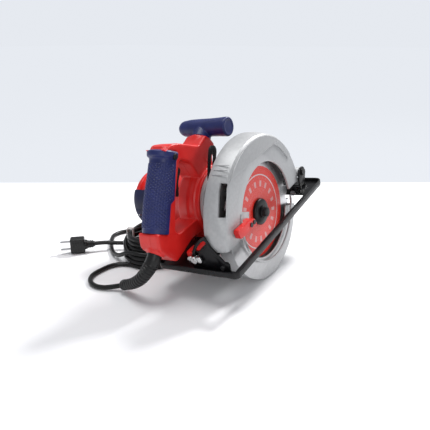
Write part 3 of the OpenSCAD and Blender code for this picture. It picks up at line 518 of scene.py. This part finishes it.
def rod(radius, start, end, tip=None, sides=64):
    a, b = Vector(start) * mm, Vector(end) * mm
    bpy.ops.mesh.primitive_cone_add(vertices=sides, radius1=radius * mm, depth=(b - a).length,
                                    radius2=(radius if tip is None else tip) * mm, location=(a + b) / 2,
                                    rotation=(b - a).to_track_quat("Z", "Y").to_euler())
    return bakePlace(bpy.context.object)


def block(low, high):
    a, b = Vector(low) * mm, Vector(high) * mm
    bpy.ops.mesh.primitive_cube_add(size=1, location=(a + b) / 2, scale=b - a)
    return bakePlace(bpy.context.object)


def lathe(profile, axisY=0.0, axisZ=0.0, steps=96, sweep=360, start=0):
    mesh = bpy.data.meshes.new("lathe")
    turn = math.radians(start)
    points = [(x * mm, r * mm * math.cos(turn), r * mm * math.sin(turn)) for r, x in profile]
    mesh.from_pydata(points, [(i, i + 1) for i in range(len(points) - 1)], [])
    piece = bpy.data.objects.new("lathe", mesh)
    bpy.context.scene.collection.objects.link(piece)
    pick(piece)
    bpy.ops.object.mode_set(mode="EDIT")
    bpy.ops.mesh.select_all(action="SELECT")
    bpy.ops.mesh.spin(steps=steps, angle=math.radians(sweep), center=(0, 0, 0), axis=(1, 0, 0))
    bpy.ops.object.mode_set(mode="OBJECT")
    bakePlace(piece, Matrix.Translation((0, axisY * mm, axisZ * mm)))
    return tidyMesh(piece)


def tube(line, radii, sides=24):
    rings, faces = [], []
    side = None
    for i, place in enumerate(line):
        along = (line[min(i + 1, len(line) - 1)] - line[max(i - 1, 0)]).normalized()
        side = along.cross(Vector((0, 0, 1))).normalized() if side is None else (
            side - along * side.dot(along)).normalized()
        up = side.cross(along)
        for k in range(sides):
            turn = 2 * math.pi * k / sides
            rings.append(place + radii[i] * mm * (side * math.cos(turn) + up * math.sin(turn)))
    for i in range(len(line) - 1):
        for k in range(sides):
            a, b = i * sides + k, i * sides + (k + 1) % sides
            faces.append((a, a + sides, b + sides, b))
    faces += [tuple(range(sides)), tuple(range((len(line) - 1) * sides, len(line) * sides))[::-1]]
    mesh = bpy.data.meshes.new("tube")
    mesh.from_pydata(rings, [], faces)
    piece = bpy.data.objects.new("tube", mesh)
    bpy.context.scene.collection.objects.link(piece)
    return tidyMesh(piece)


motorY, motorZ = -15, 23
grip = {"x": -75, "top": (-77, 128.3), "slope": 59.2, "width": 34, "split": -72}


def gripPoint(down, ahead):
    slope = math.radians(grip["slope"])
    return (grip["top"][0] - down * math.cos(slope) + ahead * math.sin(slope),
            grip["top"][1] - down * math.sin(slope) - ahead * math.cos(slope))


body = {
    # (y, z, corner radius) round the handle, with the rear of the grip cut away for the soft grip
    "outline": [(-98, 142, 9), (-61, 131, 14), (-22, 112, 7), (-2, 120, 3), (14, 101, 3), (1, 86, 8),
                (-4, 66, 0), (-30, 40, 0), (-50, -2, 0), (-88, 1, 10), (-130, -11, 6), (-155, 22, 12),
                (-150, 44, 2), (*gripPoint(110, 2), 1), (*gripPoint(70, 2), 1), (*gripPoint(63, 9), 1),
                (*gripPoint(2, 9), 1), (*gripPoint(2, -19), 2)],
    "gap": [(-69.5, 112, 5), (-51, 99, 10), (-42, 76, 10), (-27, 40, 8), (-26, 22, 4), (-119, 22, 7),
            (-96, 71, 14)],
    "drumR": 56, "drumX": (-88, -52), "flatZ": -21, "motorR": 38.4,
}


def makeBody():
    half = grip["width"] / 2
    shell = plate(grip["x"] - half, grip["x"] + half, rounded(body["outline"]), rounded(body["gap"]))
    core = plate(grip["x"] - 9.5, grip["x"] + 9.5,
                 [gripPoint(-4, -11), gripPoint(-4, 8), gripPoint(113, 8), gripPoint(113, -11)])
    stem = rod(18, (grip["x"], -16, 88), (grip["x"], 7, 112.5), 15.5)
    handle = mould(joinAll(shell, core, stem), 1.35, 14)
    r, (x0, x1) = body["drumR"], body["drumX"]
    drum = lathe([(0, x0), (r - 3, x0), (r - 0.8, x0 + 0.8), (r, x0 + 3), (r, -70.2), (r - 1.2, -69),
                  (r - 1.2, x1 - 8), (r - 3.4, x1 - 6.5), (r - 3.4, x1 - 1), (r - 4.4, x1), (0, x1)],
                 motorY, motorZ)
    start, later = [sawPlace.inverted() @ onFloor(*p) * 1000 for p in guardRoute[:2]]
    out = (later - start).normalized()
    gland = [rod(12.4, start - out * 16, start + out * 3),
             rod(14.2, start - out * 5, start + out * 0.5, 13.8)]
    whole = mould(joinAll(handle, drum, *gland), 1.1, 3)
    below = block((-110, -110, -60), (-40, 60, body["flatZ"]))
    inside = rod(body["motorR"], (-120, motorY, motorZ), (-84, motorY, motorZ), sides=96)
    pocket = plate(grip["x"] - 7.2, grip["x"] + 7.2,
                   [gripPoint(13, 3), gripPoint(13, 32), gripPoint(62, 32), gripPoint(62, 3)])
    button = rod(4.3, (grip["x"] - 1, *gripPoint(8.5, 3)), (-40, *gripPoint(8.5, 3)))
    carve(whole, below, inside, pocket, button)
    return whole


def splitBody(whole):
    seam = grip["split"]
    pick(whole)
    bpy.ops.object.duplicate()
    right = bpy.context.object
    carve(whole, block((seam - 0.12, -300, -200), (seam + 200, 300, 300)))
    carve(right, block((seam - 200, -300, -200), (seam + 0.12, 300, 300)))
    for part in (whole, right):
        bakePlace(part, sawPlace)
        smooth(part, 40)
    settle(whole, "handleShellLeft", "red_plastic", "saw_body", "handle_shell_left")
    settle(right, "handleShellRight", "red_plastic", "saw_body", "handle_shell_right")
    print("red body made")


softGrip = {"from": 1.6, "to": 109.8, "cell": 4.4, "groove": 0.9, "rows": 230, "columns": 180}


def gripSection(down):
    swell = min(1, max(0, (down - 14) / 62))
    swell = swell * swell * (3 - 2 * swell)
    half = 16.4 + 1.9 * swell
    back = 16.4 + 5.2 * swell - 1.2 * max(0, (down - 90) / 20)
    collar = 1 / (1 + math.exp((down - 11.2) * 1.5)) - 1 / (1 + math.exp((down - 2.4) * 2.2))
    half += 2.5 * collar
    back += 5.2 * collar
    front = 9 if down < 64 else max(2.0, 9 - (down - 64) * 1.05)
    return half, back, front


def scaleHeight(u, v):
    cell = softGrip["cell"]
    row = v / (cell * 0.866)
    best = 9
    for r in (math.floor(row), math.floor(row) + 1):
        shift = 0.5 * (r % 2)
        for c in (math.floor(u / cell - shift), math.floor(u / cell - shift) + 1):
            best = min(best, math.hypot(u - (c + shift) * cell, v - r * cell * 0.866))
    return max(0.0, 1 - (best / (cell * 0.5)) ** 3)


def makeRearGrip():
    bpy.ops.mesh.primitive_grid_add(x_subdivisions=softGrip["columns"], y_subdivisions=softGrip["rows"],
                                    size=1)
    piece = bpy.context.object
    length = softGrip["to"] - softGrip["from"]
    for vertex in piece.data.vertices:
        across, down = vertex.co.x * 2, softGrip["from"] + (0.5 - vertex.co.y) * length
        half, back, front = gripSection(down)
        straight, depth = front + 3, back - 3
        arc = math.pi * (half + depth) / 2
        total = 2 * straight + arc
        s = (across + 1) / 2 * total
        if s < straight:
            x, ahead, nx, na = half, front - s, 1, 0
        elif s > total - straight:
            x, ahead, nx, na = -half, front - (total - s), -1, 0
        else:
            turn = (s - straight) / arc * math.pi
            x, ahead = half * math.cos(turn), -3 - depth * math.sin(turn)
            nx, na = math.cos(turn), -math.sin(turn)
        edge = min(s, total - s, (down - 15.5) * 1.3, (107 - down) * 1.3)
        lift = softGrip["groove"] * scaleHeight(down, s - total / 2) * max(0, min(1, (edge - 3.5) / 1.5))
        y, z = gripPoint(down, ahead + na * lift)
        vertex.co = (Vector((grip["x"] + x + nx * lift, y, z))) * mm
    thick = piece.modifiers.new("wall", "SOLIDIFY")
    thick.thickness = 3.2 * mm
    thick.offset = -1
    tidyMesh(piece)
    applyAll(piece)
    bakePlace(piece, sawPlace)
    smooth(piece, 60)
    settle(piece, "rearGrip", "soft_grip", "saw_body", "rear_grip")
    print("rear grip made")


frontBar = {"y": 20.7, "z": 123, "r": 13, "left": -119.5, "right": -32}


def makeFrontGrip():
    r, left, right = frontBar["r"], frontBar["left"], frontBar["right"]
    dome = [((r - 1) * math.sin(math.radians(a)), left + (r + 1) * (1 - math.cos(math.radians(a))))
            for a in range(0, 91, 10)]
    bar = lathe(dome + [(r, -96), (r + 0.1, -80), (r, -62), (r + 0.3, -48), (r + 0.7, -40),
                        (r + 0.8, right - 2),
                        (r + 0.1, right - 0.4), (r - 1.4, right), (r - 2.6, right - 0.1),
                        (r - 3.0, right - 0.9),
                        (0, right - 0.9)], frontBar["y"], frontBar["z"])
    neck = rod(14.6, (grip["x"], 5.6, 110.8), (grip["x"], 20, 122.5), 11.5)
    whole = joinAll(bar, neck)
    mould(whole, 0.9, 4)
    bakePlace(whole, sawPlace)
    smooth(whole, 50)
    settle(whole, "frontGrip", "soft_grip", "saw_body", "front_grip")
    print("front grip made")


def makeTrigger():
    key = plate(grip["x"] - 6.4, grip["x"] + 6.4, rounded(
        [(*gripPoint(15.7, 6.7), 2), gripPoint(23, 6.7), (*gripPoint(56, 9.8), 2),
         (*gripPoint(57.8, 22), 3),
         (*gripPoint(40, 20), 12), (*gripPoint(22, 22.5), 4), (*gripPoint(15.7, 17), 3)]))
    paddle = plate(grip["x"] - 10, grip["x"] + 10, rounded(
        [(*gripPoint(19, 19.5), 1), (*gripPoint(58, 18.6), 1), (*gripPoint(60.5, 27.5), 2.5),
         (*gripPoint(41, 23.5), 14),
         (*gripPoint(22, 27), 4)]))
    roundEdges(paddle, 2.4, 4, 40)
    whole = joinAll(roundEdges(key, 0.8, 2, 40), paddle)
    bakePlace(whole, sawPlace)
    smooth(whole, 40)
    settle(whole, "triggerKey", "black_plastic", "trigger_key", "trigger")
    print("trigger made")


def makeLockButton():
    at = gripPoint(8.5, 3)
    button = rod(3.9, (grip["x"] + 4, *at), (grip["x"] + 20.6, *at))
    roundEdges(button, 0.9, 3, 40)
    bakePlace(button, sawPlace)
    smooth(button, 40)
    settle(button, "lockOffButton", "black_plastic", "lock_off_key", "lock_off_button")
    print("lock-off button made")


boot = {"radii": (10.2, 9.6, 9.0, 8.2, 7.4, 6.6), "rib": 0.55, "per": 22}


def makeBoot():
    line = smoothLine([(-71.5, -145, 71)] + guardRoute[1:], boot["per"])
    count = len(line) - 1
    radii = []
    for i in range(count + 1):
        share = i / count * (len(boot["radii"]) - 1)
        k = min(int(share), len(boot["radii"]) - 2)
        radius = boot["radii"][k] * (1 - share + k) + boot["radii"][k + 1] * (share - k)
        ribs = 0.28 * count < i < 0.93 * count
        radius += boot["rib"] * (1 if i % 5 < 3 else -0.4) if ribs else 0
        if i > 0.94 * count:
            radius += 0.9 if i < 0.99 * count else 0.1
        radii.append(radius)
    piece = tube([onFloor(*p) for p in line], radii)
    smooth(piece, 40)
    print("strain relief made")
    return settle(piece, "strainRelief", "black_rubber", "saw_body", "cord_guard")


plug = {"at": (-263, -85, 13.5), "yaw": 226}


def makePlug():
    body = block((13, -8.2, -12.6), (36, 8.2, 12.6))
    roundEdges(body, 2.4, 3)
    waist = rod(7.6, (9, 0, 0), (15, 0, 0), 8.6, 32)
    neck = rod(4.6, (-3, 0, 0), (10, 0, 0), 6.6, 32)
    ribs = [rod(6.6, (x, 0, 0), (x + 1.4, 0, 0), 6.2, 32) for x in (0, 3.2, 6.4)]
    grips = [block((x, -8.9, -7), (x + 1.6, 8.9, 7)) for x in (18, 22, 26, 30)]
    for g in grips:
        roundEdges(g, 0.6, 2)
    whole = joinAll(body, waist, neck, *ribs, *grips)
    mould(whole, 0.55, 2)
    place = Matrix.Translation(onFloor(*plug["at"])) @ Matrix.Rotation(math.radians(plug["yaw"]), 4, "Z")
    bakePlace(whole, place)
    smooth(whole, 50)
    print("plug made")
    return settle(whole, "plugBody", "black_rubber", "saw_body", "plug_body")


guardTrim = {"face": 13.6, "panelOuter": 107.5, "panelInner": 98, "panelZ": 82, "panelX": (-62, 52)}


def arcPoints(radius, start, end, steps):
    turns = [math.radians(start + (end - start) * i / steps) for i in range(steps + 1)]
    return [Vector((radius * math.cos(turn), radius * math.sin(turn))) for turn in turns]


def makeGuard():
    shell = softened("upper_guard", 0.7)
    face = guardTrim["face"]
    outline = (arcPoints(guardTrim["panelOuter"], 131, 27, 40) + arcPoints(guardTrim["panelInner"], 27,
                                                                           57.5, 14)
               + [Vector((guardTrim["panelX"][1], guardTrim["panelZ"])),
                  Vector((guardTrim["panelX"][0], guardTrim["panelZ"]))])
    panel = roundEdges(plate(face - 0.6, face + 1.2, outline), 0.5, 2, 40)
    lip = lathe([(71.0, face - 1.6), (71.0, face + 0.6), (71.5, face + 0.9), (74.2, face + 0.9),
                 (74.7, face + 0.5),
                 (74.7, face - 0.4)], 3.5, 0, 96, 196, -8)
    ribs = []
    for turn in (121, 124.6, 128.2):
        a = math.radians(turn)
        rib = block((-12, 0, -0.55), (10, 1.1, 0.55))
        roundEdges(rib, 0.35, 2)
        bakePlace(rib, Matrix.Translation(Vector((0, 113.3 * math.cos(a), 113.3 * math.sin(a))) * mm)
                  @ Matrix.Rotation(a, 4, "X"))
        ribs.append(rib)
    for piece in (panel, lip, *ribs):
        bakePlace(piece, sawPlace)
    whole = joinAll(shell, panel, lip, *ribs)
    smooth(whole, 32)
    settle(whole, "upperGuard", "cast_alloy", "saw_body", "upper_guard")
    print("upper guard made")


motorCap = {"r": 41.3}


def makeMotorCap():
    r = motorCap["r"]
    cap = lathe([(0, -186.6), (15, -186.6), (17, -188.8), (18.5, -189.2), (32, -189.2), (36, -188.4),
                 (39.2, -186.2),
                 (40.9, -183.2), (41.4, -180.4), (44.2, -179.4), (44.6, -178.6), (44.6, -174.6),
                 (44.2, -173.8),
                 (r, -172.4), (r, -166.5), (0, -166.5)], motorY, motorZ, 120)
    centre = Matrix.Translation(Vector((0, motorY, motorZ)) * mm)
    slots = []
    for turn in range(0, 360, 30):
        slot = block((-193, 20.5, -2.3), (-185.5, 30.5, 2.3))
        roundEdges(slot, 1.1, 2)
        bakePlace(slot, centre @ Matrix.Rotation(math.radians(turn), 4, "X"))
        slots.append(slot)
    carve(cap, joinAll(*slots))
    bakePlace(cap, sawPlace)
    smooth(cap, 35)
    settle(cap, "motorEndCap", "red_plastic", "saw_body", "motor_end_cap")
    print("motor end cap made")


louvres = {"start": 187, "sweep": 50, "left": -184.5, "right": -146}


def makeLouvres():
    # Dark vent panel bent round the cap's lower rear flank, in raised strips
    a0, sweep, left, right = louvres["start"], louvres["sweep"], louvres["left"], louvres["right"]
    pieces = [lathe([(41.5, right), (44.0, right - 0.8), (44.9, -173), (44.9, -180), (43.2, left),
                     (41.5, left)],
                    motorY, motorZ, 30, sweep, a0)]
    for k in range(4):
        pieces.append(lathe([(44.0, right - 3), (45.4, right - 4), (46.0, -173), (46.0, -179.5),
                             (44.4, left + 1)],
                            motorY, motorZ, 8, 10.4, a0 + 1.2 + k * 12.3))
    whole = joinAll(*pieces)
    thick = whole.modifiers.new("wall", "SOLIDIFY")
    thick.thickness = 0.9 * mm
    applyAll(whole)
    bakePlace(whole, sawPlace)
    smooth(whole, 35)
    settle(whole, "endCapVent", "dark_vent", "saw_body", "end_cap_vent")
    print("end cap vent made")


softEdges = {  # node: (edge width in mm, segments, name, body)
    # The gear case's dark finish is painted shade: it stands for the shadowed gap between the red drum and the
    # guard
    "motor_housing": (0.8, 2, "motorHousing", "saw_body"), "gear_case": (0.8, 2, "gearCase", "saw_body"),
    "lower_guard": (0.35, 2, "lowerGuard", "lower_guard_set"),
    "guard_lever": (1.0, 3, "guardLever", "lower_guard_set"),
    "depth_lever": (0.9, 3, "depthLever", "depth_lever_body"), "shoe_plate": (0.6, 2, "shoePlate", "shoe"),
    "bevel_quadrant": (0.4, 2, "bevelQuadrant", "shoe"), "fence_guide": (0.5, 2, "fenceGuide", "shoe"),
    "front_bracket": (0.5, 2, "frontBracket", "depth_carriage"),
    "depth_arc": (0.4, 2, "depthArc", "depth_carriage"),
    "outer_flange": (0.3, 2, "outerFlange", "blade_set"), "blade_bolt": (0.5, 2, "bladeBolt", "blade_set"),
    "bevel_wing_nut": (0.5, 2, "bevelWingNut", "bevel_nut"),
    "fence_screw": (0.5, 2, "fenceScrew", "fence_knob"),
}


def makeSoftened():
    for node, (width, segments, name, bodyName) in softEdges.items():
        settle(softened(node, width, segments), name, slotOf[node], bodyName, node)
    print("softened", len(softEdges), "pieces")


bpy.context.scene.view_settings.view_transform = "Standard"
addFloor(addCamera())
addSky()
for name, (at, size, power) in lights.items():
    addLight(name, at, size, power)
print("studio set")
paintNodes()
cordTie = settle(softened("cord_tie", 0.5), "cordTie", slotOf["cord_tie"], "saw_body", "cord_tie")
addCord(makePlug(), makeBoot())
splitBody(makeBody())
makeRearGrip()
makeFrontGrip()
makeTrigger()
makeLockButton()
makeGuard()
makeMotorCap()
makeLouvres()
makeSoftened()
